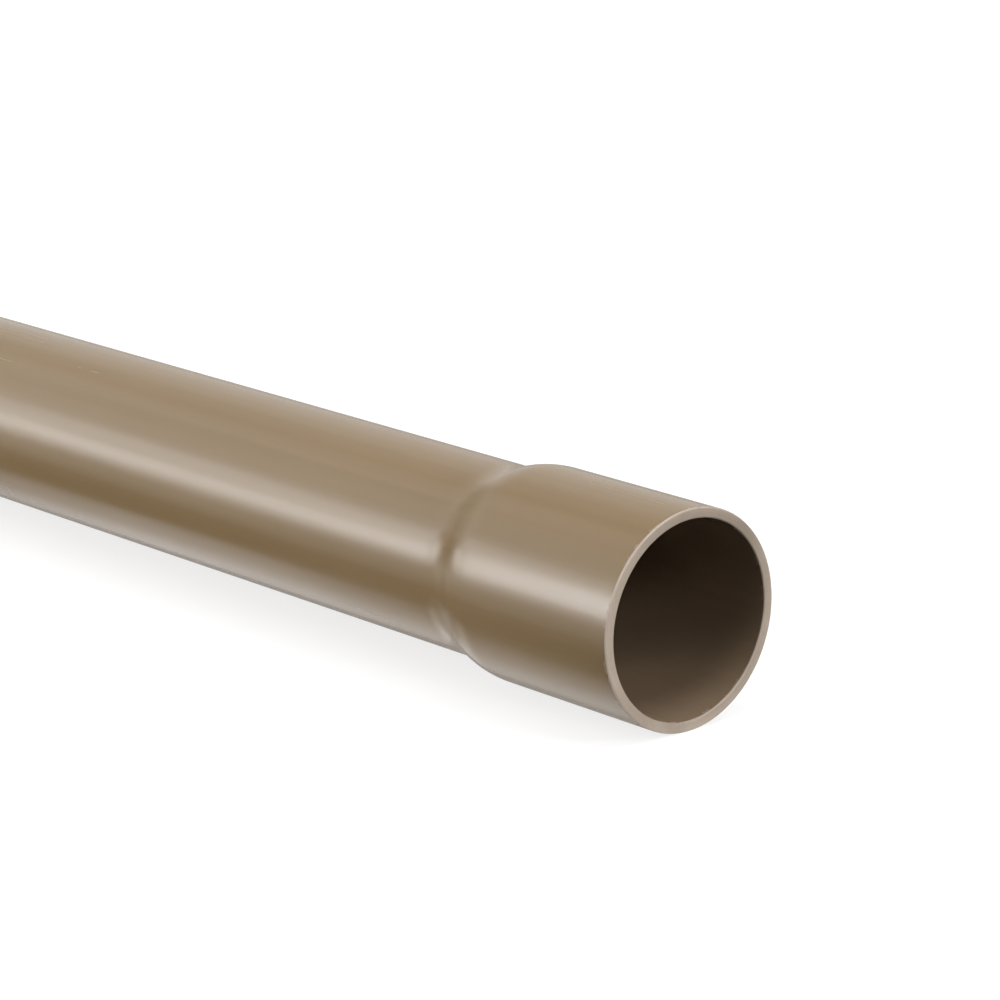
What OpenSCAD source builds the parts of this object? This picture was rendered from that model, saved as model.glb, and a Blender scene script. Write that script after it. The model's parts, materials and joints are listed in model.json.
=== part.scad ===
// Rigid PVC pressure pipe for solvent-welded cold water lines.
// One extruded tube whose end is re-formed into a bell socket. The other end is plain.
// The pipe lies along X on the plane Z = 0, socket mouth towards +X, and the origin is under its middle.

/* [Barrel] */
// Outside diameter of the barrel, mm
pipe_od = 50; // [20:1:110]
// Wall thickness of the barrel, mm
wall = 3.0; // [1.5:0.1:6]
// Overall length from the plain end to the socket mouth, mm
overall_length = 3000; // [500:100:6000]

/* [Socket] */
// Depth of the parallel socket, from the mouth to the shoulder, mm
socket_depth = 51; // [20:1:120]
// Radial clearance between the socket bore and a pipe pushed into it, mm
socket_clearance = 0.15; // [0.05:0.05:0.4]
// Wall left in the socket after the end was stretched, as a share of the barrel's wall
stretched_wall = 0.9; // [0.8:0.01:1]
// Steepest slope of the shoulder between the barrel and the socket, degrees
shoulder_angle = 17; // [8:1:30]
// Outside radius where the shoulder turns into the barrel, mm
barrel_blend = 30; // [4:1:60]
// Outside radius where the shoulder turns into the socket, mm
socket_blend = 30; // [10:1:60]

/* [Ends] */
// Largest bevel on the two edges of the socket mouth, mm
mouth_edge = 0.4; // [0.1:0.1:0.8]
// Length of the insertion bevel on the plain end, mm
spigot_bevel = 3; // [1:0.5:8]
// Steepest slope of the insertion bevel, degrees
spigot_bevel_angle = 15; // [10:1:20]
// Small bevel on the inner edge of the plain end, mm
spigot_edge = 0.3; // [0.1:0.1:0.8]

/* [Hidden] */
$fn = 180;
ARC_STEPS = 8;

barrel_r = pipe_od / 2;
barrel_bore_r = barrel_r - wall;
socket_wall = wall * stretched_wall;
socket_bore_r = barrel_r + socket_clearance;
socket_r = socket_bore_r + socket_wall;

mouth_x = overall_length / 2;
plain_x = -overall_length / 2;
shoulder_x = mouth_x - socket_depth;

// The slope eases off where the wall is too thin to rise through both blends at the full angle.
slope = min(shoulder_angle,
            0.98 * acos(1 - (socket_r - barrel_r) / (socket_blend + barrel_blend)));

// The bevels always leave part of the end face standing.
mouth_dr = min(mouth_edge, socket_wall / 3);
bevel_dr = min(spigot_bevel * tan(spigot_bevel_angle), wall - spigot_edge - 0.3);

// One flank of the shoulder as [x, r] points, from the socket side at x0 down to the barrel.
// r_hi and r_lo are its two radii, a_hi and a_lo the blend radii that meet them, and the
// straight slope between the two blends is tangent to both.
function flank(x0, r_hi, r_lo, a_hi, a_lo) =
    let (
        slope_dr = (r_hi - r_lo) - (a_hi + a_lo) * (1 - cos(slope)),
        x1 = x0 - a_hi * sin(slope) - slope_dr / tan(slope),
        x2 = x1 - a_lo * sin(slope)
    )
    concat(
        [for (i = [0:ARC_STEPS])
            let (a = slope * i / ARC_STEPS)
            [x0 - a_hi * sin(a), r_hi - a_hi * (1 - cos(a))]],
        [for (i = [ARC_STEPS:-1:0])
            let (a = slope * i / ARC_STEPS)
            [x2 + a_lo * sin(a), r_lo + a_lo * (1 - cos(a))]]
    );

// The blends keep the wall parallel: an outer convex blend is tighter inside by the wall,
// and an outer concave blend is wider inside by it.
outer_flank = flank(shoulder_x, socket_r, barrel_r, socket_blend, barrel_blend);
inner_flank = flank(shoulder_x, socket_bore_r, barrel_bore_r,
                    socket_blend - socket_wall, barrel_blend + wall);

function reversed(list) = [for (i = [len(list) - 1:-1:0]) list[i]];

// Half section of the wall as [x, r], outside first from mouth to plain end, then back inside.
section = concat(
    [[mouth_x, socket_r - mouth_dr],
     [mouth_x - mouth_dr, socket_r]],
    outer_flank,
    [[plain_x + spigot_bevel, barrel_r],
     [plain_x, barrel_r - bevel_dr],
     [plain_x, barrel_bore_r + spigot_edge],
     [plain_x + spigot_edge, barrel_bore_r]],
    reversed(inner_flank),
    [[mouth_x - mouth_dr, socket_bore_r],
     [mouth_x, socket_bore_r + mouth_dr]]
);

module pipe() {
    color([0.60, 0.53, 0.43])
        translate([0, 0, socket_r])
            rotate([0, 90, 0])
                rotate_extrude()
                    polygon([for (p = section) [p[1], p[0]]]);
}

pipe();
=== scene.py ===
import json
import math

import bpy
from mathutils import Matrix, Vector


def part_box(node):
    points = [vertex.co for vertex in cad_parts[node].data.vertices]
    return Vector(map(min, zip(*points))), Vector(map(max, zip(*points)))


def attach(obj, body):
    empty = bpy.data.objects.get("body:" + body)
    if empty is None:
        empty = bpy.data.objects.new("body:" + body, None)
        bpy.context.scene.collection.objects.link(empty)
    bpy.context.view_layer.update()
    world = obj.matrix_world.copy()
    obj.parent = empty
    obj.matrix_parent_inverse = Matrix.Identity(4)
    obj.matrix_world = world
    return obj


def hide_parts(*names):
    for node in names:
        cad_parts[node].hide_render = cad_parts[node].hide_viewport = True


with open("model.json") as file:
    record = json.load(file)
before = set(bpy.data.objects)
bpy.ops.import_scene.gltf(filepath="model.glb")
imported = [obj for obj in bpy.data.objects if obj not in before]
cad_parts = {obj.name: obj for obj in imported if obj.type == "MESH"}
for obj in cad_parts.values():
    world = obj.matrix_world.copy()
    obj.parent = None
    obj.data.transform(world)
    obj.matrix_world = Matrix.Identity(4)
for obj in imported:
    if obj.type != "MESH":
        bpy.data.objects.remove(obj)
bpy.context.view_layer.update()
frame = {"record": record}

# ---------------------------------------------------------------- sizes, from the frame
lo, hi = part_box("pipe")
mounts = {m["name"]: m for m in frame["record"]["mounts"]}
MOUTH_X, PLAIN_X = hi.x, lo.x
AXIS_Z = mounts["socket"]["pos_m"][2]
SOCKET_BORE = mounts["socket"]["dims"]["r_mm"] / 1000
BARREL = mounts["spigot"]["dims"]["r_mm"] / 1000
BARREL_BORE = mounts["waterway"]["dims"]["r_mm"] / 1000
SOCKET = AXIS_Z - lo.z
WALL = BARREL - BARREL_BORE
SOCKET_WALL = SOCKET - SOCKET_BORE
SHOULDER_X = MOUTH_X - 0.051
SLOPE = math.radians(17)
MM = 0.001


# ---------------------------------------------------------------- the pipe's wall as a turned mesh
def flank(r_hi, r_lo, blend_hi, blend_lo, steps):
    """Shoulder points (x, r) from the socket down to the barrel: two blends and the slope between them."""
    dr = (r_hi - r_lo) - (blend_hi + blend_lo) * (1 - math.cos(SLOPE))
    x1 = SHOULDER_X - blend_hi * math.sin(SLOPE) - dr / math.tan(SLOPE)
    x2 = x1 - blend_lo * math.sin(SLOPE)
    hi_arc = [(SHOULDER_X - blend_hi * math.sin(SLOPE * i / steps),
               r_hi - blend_hi * (1 - math.cos(SLOPE * i / steps))) for i in range(steps + 1)]
    lo_arc = [(x2 + blend_lo * math.sin(SLOPE * i / steps),
               r_lo + blend_lo * (1 - math.cos(SLOPE * i / steps))) for i in range(steps, -1, -1)]
    slope = [(hi_arc[-1][0] + (lo_arc[0][0] - hi_arc[-1][0]) * k / 6,
              hi_arc[-1][1] + (lo_arc[0][1] - hi_arc[-1][1]) * k / 6) for k in range(1, 6)]
    return hi_arc + slope + lo_arc


def corner(cx, cr, radius, a0, a1, steps=5):
    """A small round on an edge, with its centre at (cx, cr)."""
    return [(cx + radius * math.cos(math.radians(a0 + (a1 - a0) * i / steps)),
             cr + radius * math.sin(math.radians(a0 + (a1 - a0) * i / steps))) for i in range(steps + 1)]


def between(p, q, n):
    return [(p[0] + (q[0] - p[0]) * i / n, p[1] + (q[1] - p[1]) * i / n) for i in range(1, n)]


OUTER_ROUND, INNER_ROUND = 0.45 * MM, 0.40 * MM
outer = flank(SOCKET, BARREL, 30 * MM, 30 * MM, 14)
inner = flank(SOCKET_BORE, BARREL_BORE, 30 * MM - SOCKET_WALL, 30 * MM + WALL, 14)

rim_out = corner(MOUTH_X - OUTER_ROUND, SOCKET - OUTER_ROUND, OUTER_ROUND, 0, 90)
rim_in = corner(MOUTH_X - INNER_ROUND, SOCKET_BORE + INNER_ROUND, INNER_ROUND, 270, 360)
pts = []          # (x, r, material) around the section; material is that of the face after the point
WALL_MAT, CUT_MAT, BORE_MAT = 0, 1, 2


def add(points, mat):
    for p in points:
        pts.append((p[0], p[1], mat))


# outside, from the mouth to the plain end
add(rim_out[:-1], CUT_MAT)
add(rim_out[-1:], WALL_MAT)
add([(MOUTH_X - OUTER_ROUND - 0.06 * MM, SOCKET)], WALL_MAT)
add(between((MOUTH_X - OUTER_ROUND - 0.06 * MM, SOCKET), outer[0], 12), WALL_MAT)
add(outer, WALL_MAT)
bevel = 3 * MM
tip_r = BARREL - bevel * math.tan(math.radians(15))
add(between(outer[-1], (PLAIN_X + bevel, BARREL), 110), WALL_MAT)
add([(PLAIN_X + bevel + 0.10 * MM, BARREL), (PLAIN_X + bevel - 0.02 * MM, BARREL - 0.01 * MM)], WALL_MAT)
add([(PLAIN_X + bevel - 0.12 * MM, BARREL - 0.032 * MM)], CUT_MAT)
add(between((PLAIN_X + bevel - 0.12 * MM, BARREL - 0.032 * MM), (PLAIN_X + 0.2 * MM, tip_r + 0.05 * MM), 3), CUT_MAT)
add([(PLAIN_X + 0.2 * MM, tip_r + 0.05 * MM), (PLAIN_X + 0.05 * MM, tip_r - 0.02 * MM),
     (PLAIN_X, tip_r - 0.12 * MM), (PLAIN_X, tip_r - 0.2 * MM)], CUT_MAT)
add(between((PLAIN_X, tip_r - 0.2 * MM), (PLAIN_X, BARREL_BORE + 0.4 * MM), 3), CUT_MAT)
add([(PLAIN_X, BARREL_BORE + 0.4 * MM), (PLAIN_X, BARREL_BORE + 0.3 * MM)], CUT_MAT)
add([(PLAIN_X + 0.09 * MM, BARREL_BORE + 0.09 * MM), (PLAIN_X + 0.3 * MM, BARREL_BORE)], WALL_MAT)
# inside, back to the mouth
back = inner[::-1]
add([(PLAIN_X + 0.4 * MM, BARREL_BORE)], BORE_MAT)
add(between((PLAIN_X + 0.4 * MM, BARREL_BORE), back[0], 110), BORE_MAT)
add(back, BORE_MAT)
add(between(back[-1], (MOUTH_X - INNER_ROUND - 0.06 * MM, SOCKET_BORE), 12), BORE_MAT)
add([(MOUTH_X - INNER_ROUND - 0.06 * MM, SOCKET_BORE)], BORE_MAT)
add(rim_in[:-1], CUT_MAT)
add([rim_in[-1]], CUT_MAT)
add([(MOUTH_X, SOCKET_BORE + INNER_ROUND + 0.06 * MM)], CUT_MAT)
add(between((MOUTH_X, SOCKET_BORE + INNER_ROUND + 0.06 * MM), (MOUTH_X, SOCKET - OUTER_ROUND - 0.06 * MM), 4), CUT_MAT)
add([(MOUTH_X, SOCKET - OUTER_ROUND - 0.06 * MM)], CUT_MAT)

SEGMENTS = 256


def turned(name, points, segments):
    n = len(points)
    co, faces, mats = [], [], []
    for x, r, _ in points:
        for k in range(segments):
            a = 2 * math.pi * k / segments
            co.append((x, r * math.sin(a), AXIS_Z + r * math.cos(a)))
    for i in range(n):
        j = (i + 1) % n
        for k in range(segments):
            m = (k + 1) % segments
            faces.append((i * segments + k, i * segments + m, j * segments + m, j * segments + k))
            mats.append(points[i][2])
    mesh = bpy.data.meshes.new(name)
    mesh.from_pydata(co, [], faces)
    mesh.polygons.foreach_set("material_index", mats)
    mesh.polygons.foreach_set("use_smooth", [True] * len(faces))
    mesh.update()
    obj = bpy.data.objects.new(name, mesh)
    bpy.context.scene.collection.objects.link(obj)
    return obj


pipe = turned("pvc_pipe", pts, SEGMENTS)


# ---------------------------------------------------------------- materials
class Nodes:
    """A material's node tree with one Principled shader, and short calls that add nodes to it."""

    def __init__(self, name):
        self.mat = bpy.data.materials.new(name)
        self.mat.use_nodes = True
        self.tree = self.mat.node_tree
        self.tree.nodes.clear()
        out = self.tree.nodes.new("ShaderNodeOutputMaterial")
        self.bsdf = self.tree.nodes.new("ShaderNodeBsdfPrincipled")
        self.tree.links.new(self.bsdf.outputs[0], out.inputs[0])

    def put(self, socket, value):
        if isinstance(value, bpy.types.NodeSocket):
            self.tree.links.new(value, socket)
        else:
            socket.default_value = value

    def math(self, op, a, b=0.0, c=0.0, clamp=False):
        n = self.tree.nodes.new("ShaderNodeMath")
        n.operation, n.use_clamp = op, clamp
        for socket, value in zip(n.inputs, (a, b, c)):
            self.put(socket, value)
        return n.outputs[0]

    def place(self, scale, turn=(0, 0, 0)):
        """Object coordinates about the pipe's axis, scaled by axis."""
        at = self.tree.nodes.new("ShaderNodeTexCoord")
        m = self.tree.nodes.new("ShaderNodeMapping")
        m.vector_type = "POINT"
        self.put(m.inputs["Vector"], at.outputs["Object"])
        m.inputs["Rotation"].default_value = turn
        m.inputs["Scale"].default_value = scale
        return m.outputs[0]

    def noise(self, scale, detail=2.0, rough=0.5, turn=(0, 0, 0), warp=0.0):
        n = self.tree.nodes.new("ShaderNodeTexNoise")
        self.put(n.inputs["Vector"], self.place(scale, turn))
        n.inputs["Scale"].default_value = 1.0
        n.inputs["Detail"].default_value = detail
        n.inputs["Roughness"].default_value = rough
        n.inputs["Distortion"].default_value = warp
        return n.outputs[0]

    def step(self, value, low, high, to_low=0.0, to_high=1.0):
        """value from low..high to to_low..to_high, smoothly, and held outside it."""
        n = self.tree.nodes.new("ShaderNodeMapRange")
        n.interpolation_type = "SMOOTHSTEP"
        for name, v in (("Value", value), ("From Min", low), ("From Max", high), ("To Min", to_low), ("To Max", to_high)):
            self.put(n.inputs[name], v)
        return n.outputs[0]

    def mix(self, a, b, factor, blend="MIX"):
        n = self.tree.nodes.new("ShaderNodeMix")
        n.data_type, n.blend_type = "RGBA", blend
        self.put(n.inputs[0], factor)
        self.put(n.inputs[6], a)
        self.put(n.inputs[7], b)
        return n.outputs[2]

    def bump(self, height, distance, below=None):
        n = self.tree.nodes.new("ShaderNodeBump")
        n.inputs["Strength"].default_value = 1.0
        n.inputs["Distance"].default_value = distance
        self.put(n.inputs["Height"], height)
        if below is not None:
            self.put(n.inputs["Normal"], below)
        return n.outputs[0]

    def along(self):
        """The x coordinate, in metres."""
        at = self.tree.nodes.new("ShaderNodeTexCoord")
        n = self.tree.nodes.new("ShaderNodeSeparateXYZ")
        self.put(n.inputs[0], at.outputs["Object"])
        return n.outputs[0]

    def radius(self):
        """Distance from the pipe's axis, in metres."""
        at = self.tree.nodes.new("ShaderNodeTexCoord")
        n = self.tree.nodes.new("ShaderNodeSeparateXYZ")
        self.put(n.inputs[0], at.outputs["Object"])
        y, z = n.outputs[1], self.math("SUBTRACT", n.outputs[2], AXIS_Z)
        return self.math("SQRT", self.math("ADD", self.math("MULTIPLY", y, y), self.math("MULTIPLY", z, z)))


def rgb(r, g, b):
    return (r, g, b, 1.0)


def pvc_wall(name, base, rough, streaks, scuffs):
    """Extruded satin PVC: die lines along X, a little clouding, fine peel and scuffs from handling."""
    def shade(k, warm=0.0):
        return rgb(base[0] * k * (1 + warm), base[1] * k, base[2] * k * (1 - warm))

    m = Nodes(name)
    lines = m.noise((1.3, 330, 330), detail=3, rough=0.6)
    fine = m.noise((6, 1500, 1500), detail=2, rough=0.5)
    cloud = m.noise((16, 24, 24), detail=4, rough=0.55)
    peel = m.noise((620, 620, 620), detail=2, rough=0.5)
    # scratches: long thin ones along the pipe, and a few short ones across it
    patch = m.step(m.noise((7, 22, 22), detail=3), 0.50, 0.68)
    long_cut = m.step(m.noise((5, 1900, 1900), detail=1, rough=0.3), 0.70, 0.77)
    cross_cut = m.step(m.noise((1500, 80, 80), detail=1, rough=0.3, turn=(0.2, 0.5, 0.45)), 0.76, 0.81)
    cut = m.math("MULTIPLY", m.math("MAXIMUM", long_cut, m.math("MULTIPLY", cross_cut, 0.5)), patch)
    cut = m.math("MULTIPLY", cut, scuffs)

    tone = m.math("ADD", m.math("MULTIPLY", m.math("SUBTRACT", lines, 0.5), 0.42 * streaks),
                  m.math("MULTIPLY", m.math("SUBTRACT", cloud, 0.5), 0.26))
    tone = m.math("ADD", m.math("ADD", tone, m.math("MULTIPLY", m.math("SUBTRACT", fine, 0.5), 0.10 * streaks)), 0.5, clamp=True)
    colour = m.mix(shade(0.80, 0.03), shade(1.20, -0.03), tone)
    colour = m.mix(colour, shade(1.7, -0.10), m.math("MULTIPLY", cut, 0.32))
    # rubbed patches along both ends' edges
    x = m.along()
    edge = m.math("MAXIMUM", m.step(x, MOUTH_X - 1.6 * MM, MOUTH_X - 0.4 * MM), m.step(x, PLAIN_X + 3.2 * MM, PLAIN_X + 8 * MM, 1.0, 0.0))
    rub = m.math("MULTIPLY", edge, m.step(m.noise((420, 300, 300), detail=4, rough=0.6), 0.50, 0.64))
    colour = m.mix(colour, shade(1.75, -0.25), m.math("MULTIPLY", rub, 0.28 * scuffs))
    m.put(m.bsdf.inputs["Base Color"], colour)

    r = m.math("MULTIPLY_ADD", m.math("SUBTRACT", cloud, 0.5), 0.12, rough)
    r = m.math("MULTIPLY_ADD", m.math("SUBTRACT", lines, 0.5), 0.10 * streaks, r)
    r = m.math("MULTIPLY_ADD", cut, 0.16, r)
    r = m.math("MULTIPLY_ADD", rub, 0.14, r)
    m.put(m.bsdf.inputs["Roughness"], r)

    height = m.math("MULTIPLY_ADD", lines, 0.70 * streaks, m.math("MULTIPLY", fine, 0.12 * streaks))
    height = m.math("MULTIPLY_ADD", peel, 0.12, height)
    height = m.math("MULTIPLY_ADD", cut, -0.18, height)
    m.put(m.bsdf.inputs["Normal"], m.bump(height, 0.020 * MM))
    return m


def pvc_cut(name):
    """A sawn and trimmed end face: paler and matt, with fine turning marks round the axis, painted shade across its top
    and towards the bore, and a painted highlight along its outer edge.
    """
    m = Nodes(name)
    r = m.radius()
    rings = m.tree.nodes.new("ShaderNodeTexNoise")
    rings.noise_dimensions = "1D"
    m.put(rings.inputs["W"], m.math("MULTIPLY_ADD", m.noise((260, 260, 260), detail=2), 0.5, m.math("MULTIPLY", r, 5200)))
    rings.inputs["Scale"].default_value = 1.0
    rings.inputs["Detail"].default_value = 2.0
    saw = m.noise((400, 2600, 340), detail=2, rough=0.6, turn=(0.6, 0, 0))
    cloud = m.noise((90, 90, 90), detail=3)
    tone = m.math("MULTIPLY_ADD", m.math("SUBTRACT", rings.outputs[0], 0.5), 0.5,
                  m.math("MULTIPLY_ADD", m.math("SUBTRACT", saw, 0.5), 0.5, m.math("MULTIPLY", cloud, 1.0)), clamp=True)
    # painted shade: a broad noise tone, turned so the face comes out darker across its top and lighter at its sides, on
    # top of random tone
    broad_top_shade = m.noise((5, 30, 30), detail=1, turn=(3.1, 0, 0))
    tone = m.math("MULTIPLY_ADD", m.math("SUBTRACT", broad_top_shade, 0.5), 2.0, tone)
    # 0 at the bore and 1 at the outside, on either end face
    inside = m.step(m.along(), -0.1, 0.1, BARREL_BORE, SOCKET_BORE)
    out = m.math("DIVIDE", m.math("SUBTRACT", r, inside), SOCKET_WALL)
    # painted shade: the face is drawn darker towards the bore and lighter towards the outside
    tone = m.math("MULTIPLY_ADD", m.math("SUBTRACT", out, 0.5), 0.30, tone)
    # painted highlight: a pale band along the face's outer edge
    tone = m.math("ADD", tone, m.step(out, 0.82, 0.98, 0.0, 0.28), clamp=True)
    m.put(m.bsdf.inputs["Base Color"], m.mix(rgb(0.218, 0.177, 0.139), rgb(0.352, 0.292, 0.234), tone))
    m.put(m.bsdf.inputs["Roughness"], m.math("MULTIPLY_ADD", saw, 0.2, 0.42))
    height = m.math("MULTIPLY_ADD", rings.outputs[0], 0.6, m.math("MULTIPLY", saw, 0.8))
    m.put(m.bsdf.inputs["Normal"], m.bump(height, 0.035 * MM))
    return m


wall = pvc_wall("brown_pvc", (0.205, 0.137, 0.0665), 0.24, 1.0, 1.0)
cut = pvc_cut("brown_pvc_cut")
bore = pvc_wall("brown_pvc_bore", (0.200, 0.141, 0.092), 0.24, 0.7, 0.2)
for m in (wall, cut, bore):
    pipe.data.materials.append(m.mat)

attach(pipe, "root")
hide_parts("pipe")

# ---------------------------------------------------------------- floor, light and camera
def staged(name, verts, faces, mat):
    mesh = bpy.data.meshes.new(name)
    mesh.from_pydata(verts, [], faces)
    obj = bpy.data.objects.new(name, mesh)
    bpy.context.scene.collection.objects.link(obj)
    obj.data.materials.append(mat)
    return obj


def floor_like(name, albedo, glow_near, glow_far, z, dark_ahead=False):
    """A round floor, lit near the pipe, that glows by itself further off, where the softboxes don't reach.

    dark_ahead makes it black beyond the mouth, as a black card laid there does."""
    m = Nodes(name)
    at = m.tree.nodes.new("ShaderNodeTexCoord")
    xyz = m.tree.nodes.new("ShaderNodeSeparateXYZ")
    m.put(xyz.inputs[0], at.outputs["Object"])
    past = m.math("MAXIMUM", m.math("SUBTRACT", m.math("ABSOLUTE", xyz.outputs[0]), MOUTH_X), 0.0)
    away = m.math("SQRT", m.math("MULTIPLY_ADD", past, past, m.math("MULTIPLY", xyz.outputs[1], xyz.outputs[1])))
    tone = rgb(albedo, albedo, albedo)
    glow = m.step(away, 0.7, 2.4, glow_near, glow_far)
    if dark_ahead:
        behind = m.step(xyz.outputs[0], MOUTH_X - 0.01, MOUTH_X + 0.02, 1.0, 0.0)
        tone = m.mix(rgb(0, 0, 0), tone, behind)
        glow = m.math("MULTIPLY", glow, behind)
    m.put(m.bsdf.inputs["Base Color"], tone)
    m.put(m.bsdf.inputs["Roughness"], 0.9)
    m.put(m.bsdf.inputs["Emission Color"], rgb(1, 1, 1))
    m.put(m.bsdf.inputs["Emission Strength"], glow)
    return staged(name, [(x, y, z) for x, y in ring], [tuple(range(len(ring)))], m.mat)


# The camera sees one floor, pale enough to keep the pipe's shadow light, and the pipe is lit by
# another just under it. Neither shows in the pipe's gloss.
R = 90.0
ring = [(R * math.cos(math.radians(a)), R * math.sin(math.radians(a))) for a in range(0, 360, 5)]
floor = floor_like("floor", 0.22, 0.77, 0.97, 0)
floor.visible_diffuse = floor.visible_glossy = floor.visible_shadow = False
bounce = floor_like("floor_bounce", 0.40, 0.42, 0.60, -0.0005, dark_ahead=True)
bounce.visible_camera = bounce.visible_glossy = False

pale = bpy.data.materials.new("pale_backdrop")
pale.use_nodes = True
pale.node_tree.nodes.clear()
glow = pale.node_tree.nodes.new("ShaderNodeEmission")
glow.inputs["Color"].default_value = rgb(1, 1, 1)
glow.inputs["Strength"].default_value = 0.97
out = pale.node_tree.nodes.new("ShaderNodeOutputMaterial")
pale.node_tree.links.new(glow.outputs[0], out.inputs[0])
n = len(ring)
back = staged("backdrop", [(x, y, -1) for x, y in ring] + [(x, y, R) for x, y in ring],
              [(k, (k + 1) % n, n + (k + 1) % n, n + k) for k in range(n)] + [tuple(range(2 * n - 1, n - 1, -1))], pale)
back.visible_diffuse = back.visible_glossy = back.visible_transmission = back.visible_shadow = False


def softbox(name, at, to, width, height, watts, gloss_only=False, no_gloss=False):
    """An area light at a point, facing another. width runs along X where it can."""
    data = bpy.data.lights.new(name, "AREA")
    data.shape = "RECTANGLE"
    data.size, data.size_y = width, height
    data.energy = watts
    obj = bpy.data.objects.new(name, data)
    bpy.context.scene.collection.objects.link(obj)
    back = (Vector(at) - Vector(to)).normalized()
    right = Vector((1, 0, 0)) if abs(back.x) < 0.9 else Vector((0, 1, 0))
    up = back.cross(right).normalized()
    right = up.cross(back).normalized()
    obj.matrix_world = Matrix((
        (right.x, up.x, back.x, at[0]),
        (right.y, up.y, back.y, at[1]),
        (right.z, up.z, back.z, at[2]),
        (0, 0, 0, 1),
    ))
    obj.visible_camera = False
    obj.visible_diffuse = not gloss_only
    obj.visible_glossy = not no_gloss


def beside(name, low, high, x0, x1, per_m2, gloss_only=False):
    """A softbox parallel to the pipe, from x0 to x1, between two heights in degrees about the pipe's axis.

    0 degrees is level with the axis on the camera's side, 90 is straight above it, 180 is level behind it,
    and negative heights are below the floor. per_m2 is its power for each square metre."""
    mid, half = math.radians((low + high) / 2), math.radians((high - low) / 2)
    reach, x = 2.06, (x0 + x1) / 2
    at = (x, -reach * math.cos(mid), AXIS_Z + reach * math.sin(mid))
    size = (x1 - x0, 2 * reach * math.tan(half))
    softbox(name, at, (x, 0, AXIS_Z), *size, per_m2 * size[0] * size[1], gloss_only)


def beyond(name, x, azimuth, height, size, watts, no_gloss=False):
    """A square softbox off one end of the pipe, facing the axis at x from a direction in degrees.

    Azimuth 0 is straight along +X."""
    az, el = math.radians(azimuth), math.radians(height)
    off = Vector((math.cos(az) * math.cos(el), math.sin(az) * math.cos(el), math.sin(el))) * 2.8
    target = Vector((x, 0, AXIS_Z))
    softbox(name, target + off, target, size, size, watts, no_gloss=no_gloss)


# The bright strips low on the camera's side draw the highlight, and the tall pale boxes above them the sheen.
for name, low, high, x0, x1, per_m2 in (
        ("key_mouth", 0.3, 24, -0.60, -0.10, 42.7),
        ("key_low", 0.3, 16, -1.95, -0.60, 17.8),
        ("key_high", 16, 24, -1.95, -0.60, 9.42),
        ("key_far", 0.3, 24, -3.20, -1.95, 20),
        ("key_soft", 24, 36, -1.95, -0.30, 13.4),
        ("sheen_front", 36, 60, -2.5, -0.20, 5.12),
        ("sheen_over", 60, 90, -2.5, -0.20, 4.19),
        ("sheen_behind", 90, 120, -2.5, -0.20, 2.18),
        ("sheen_back", 120, 150, -2.5, -0.20, 2.9),
        ("sheen_low", 150, 179.7, -2.5, -0.20, 2.78),
        ("sheen_front_far", 36, 90, -9.0, -2.5, 2.23),
        ("sheen_back_far", 90, 179.7, -9.0, -2.5, 1.16)):
    beside(name, low, high, x0, x1, per_m2)
# What the underside reflects: pale far behind and below, and dark towards the camera. The last one draws
# the light line on the mouth's edges.
for name, low, high, x0, x1, per_m2 in (
        ("under_level", -8, -0.5, -3.0, 2.5, 7.58),
        ("under_front", -28, -8, -3.0, 2.5, 2.24),
        ("under_front_far", -50, -8, -9.0, -3.0, 2.92),
        ("under_mid", -90, -70, -0.80, 2.5, 2.73),
        ("under_mid_low", -90, -62, -1.45, -0.80, 4.29),
        ("under_mid_far", -90, -70, -3.0, -1.45, 1.21),
        ("under_back", -120, -90, -0.80, 2.5, 3.71),
        ("under_back_low", -120, -90, -1.45, -0.80, 4.87),
        ("under_back_far", -120, -90, -3.0, -1.45, 1.91),
        ("under_far", -179.7, -120, -3.0, 2.5, 1.41),
        ("edge_line", 0.3, 50, 0.40, 1.25, 24)):
    beside(name, low, high, x0, x1, per_m2, True)
# The boxes ahead light the cut face of the mouth and reach into the bore: the low one straight down it.
for name, azimuth, height, size, watts in (
        ("fill_top", 0, 80, 1.2, 30),
        ("fill_low", 0, 6, 0.3, 43.5),
        ("fill_deep", -15, 30, 0.6, 14.1),
        ("fill_beyond", 15, 35, 0.8, 32.3),
        ("fill_left", -80, 60, 1.2, 12),
        ("fill_right", 60, 50, 1.2, 29.7)):
    beyond(name, MOUTH_X - 0.1, azimuth, height, size, watts)
# One behind the mouth's plane lights the outside only, and two light the plain end. They'd show as patches
# in the gloss of the shoulder, so they don't show in any.
beyond("fill_side", MOUTH_X - 0.1, -100, 25, 1.2, 10, no_gloss=True)
beyond("fill_plain_left", PLAIN_X + 0.1, 215, 30, 1.2, 30, no_gloss=True)
beyond("fill_plain_right", PLAIN_X + 0.1, 140, 35, 1.2, 40, no_gloss=True)

world = bpy.data.worlds.new("studio")
bpy.context.scene.world = world
world.use_nodes = True
world.node_tree.nodes["Background"].inputs["Color"].default_value = rgb(1, 1, 1)
world.node_tree.nodes["Background"].inputs["Strength"].default_value = 0.0

AZIMUTH, ELEVATION = math.radians(48.279), math.radians(15.231)
forward = Vector((-math.sin(AZIMUTH) * math.cos(ELEVATION), math.cos(AZIMUTH) * math.cos(ELEVATION), -math.sin(ELEVATION)))
right = Vector((math.cos(AZIMUTH), math.sin(AZIMUTH), 0))
up = right.cross(forward)
mouth = Vector((MOUTH_X, 0, AXIS_Z))
eye = mouth - 0.04556 * right + 0.02891 * up - 0.94782 * forward
cam_data = bpy.data.cameras.new("camera")
cam = bpy.data.objects.new("camera", cam_data)
bpy.context.scene.collection.objects.link(cam)
cam_data.sensor_width = 36
cam_data.lens = 142.74
cam_data.clip_start, cam_data.clip_end = 0.05, 500
cam.location = eye
cam.rotation_mode = "QUATERNION"
cam.rotation_quaternion = forward.to_track_quat("-Z", "Y")
bpy.context.scene.camera = cam

bpy.context.scene.view_settings.view_transform = "Standard"
